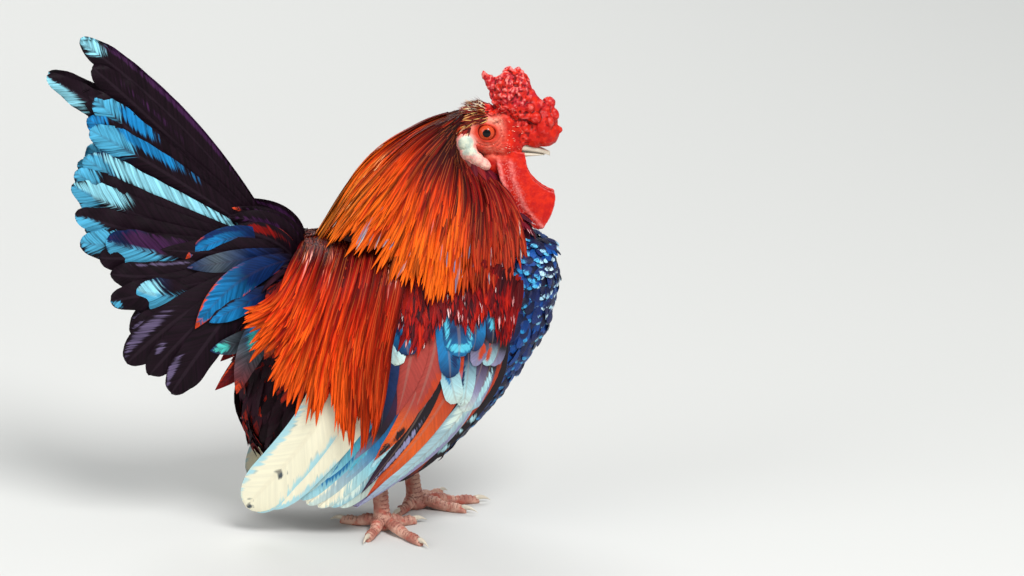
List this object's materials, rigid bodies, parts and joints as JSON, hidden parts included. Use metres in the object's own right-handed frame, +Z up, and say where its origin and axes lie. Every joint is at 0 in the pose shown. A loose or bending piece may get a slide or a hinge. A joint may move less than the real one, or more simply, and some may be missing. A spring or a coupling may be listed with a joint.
{
  "type": "chicken",
  "caption": "Short-legged bantam cock standing with wings hung low and tail raised, with comb, wattles, feathers in tiers, scaled shanks and clawed toes.",
  "frame": {"origin": "on the floor plane under the soles, below the centre of the bounding box", "axes": "+X the way the bird faces, +Y its left side, +Z up"},
  "size_m": [0.3254, 0.1378, 0.3178],
  "materials": {
    "plumage": "dark blue-black and maroon feathers with a satin sheen",
    "hackles": "glossy orange-red hackle feathers, golden towards the nape",
    "wing_feathers": "satin flight feathers in brick red, cream and slate blue",
    "tail_feathers": "glossy black-maroon feathers with pale blue webs",
    "face_skin": "matt bare skin with fine warts",
    "red_skin": "soft semi-gloss red skin",
    "lobe_skin": "pale smooth skin",
    "eye": "wet and glossy, orange iris round a black pupil",
    "horn": "smooth pale horn",
    "leg_scales": "matt overlapping scales"
  },
  "bodies": {
    "root": {"torso": "plumage", "neck": "hackles", "head": "face_skin", "comb": "red_skin", "beak_upper": "horn", "beak_lower": "horn", "eye_right": "eye", "earlobe_right": "lobe_skin", "wattle_right": "red_skin", "wing_right": "wing_feathers", "tail_right": "tail_feathers", "thigh_right": "plumage", "foot_right": "leg_scales", "claw_right_middle": "horn", "claw_right_inner": "horn", "claw_right_outer": "horn", "claw_right_hind": "horn", "eye_left": "eye", "earlobe_left": "lobe_skin", "wattle_left": "red_skin", "wing_left": "wing_feathers", "tail_left": "tail_feathers", "thigh_left": "plumage", "foot_left": "leg_scales", "claw_left_middle": "horn", "claw_left_inner": "horn", "claw_left_outer": "horn", "claw_left_hind": "horn"}
  },
  "joints": []
}
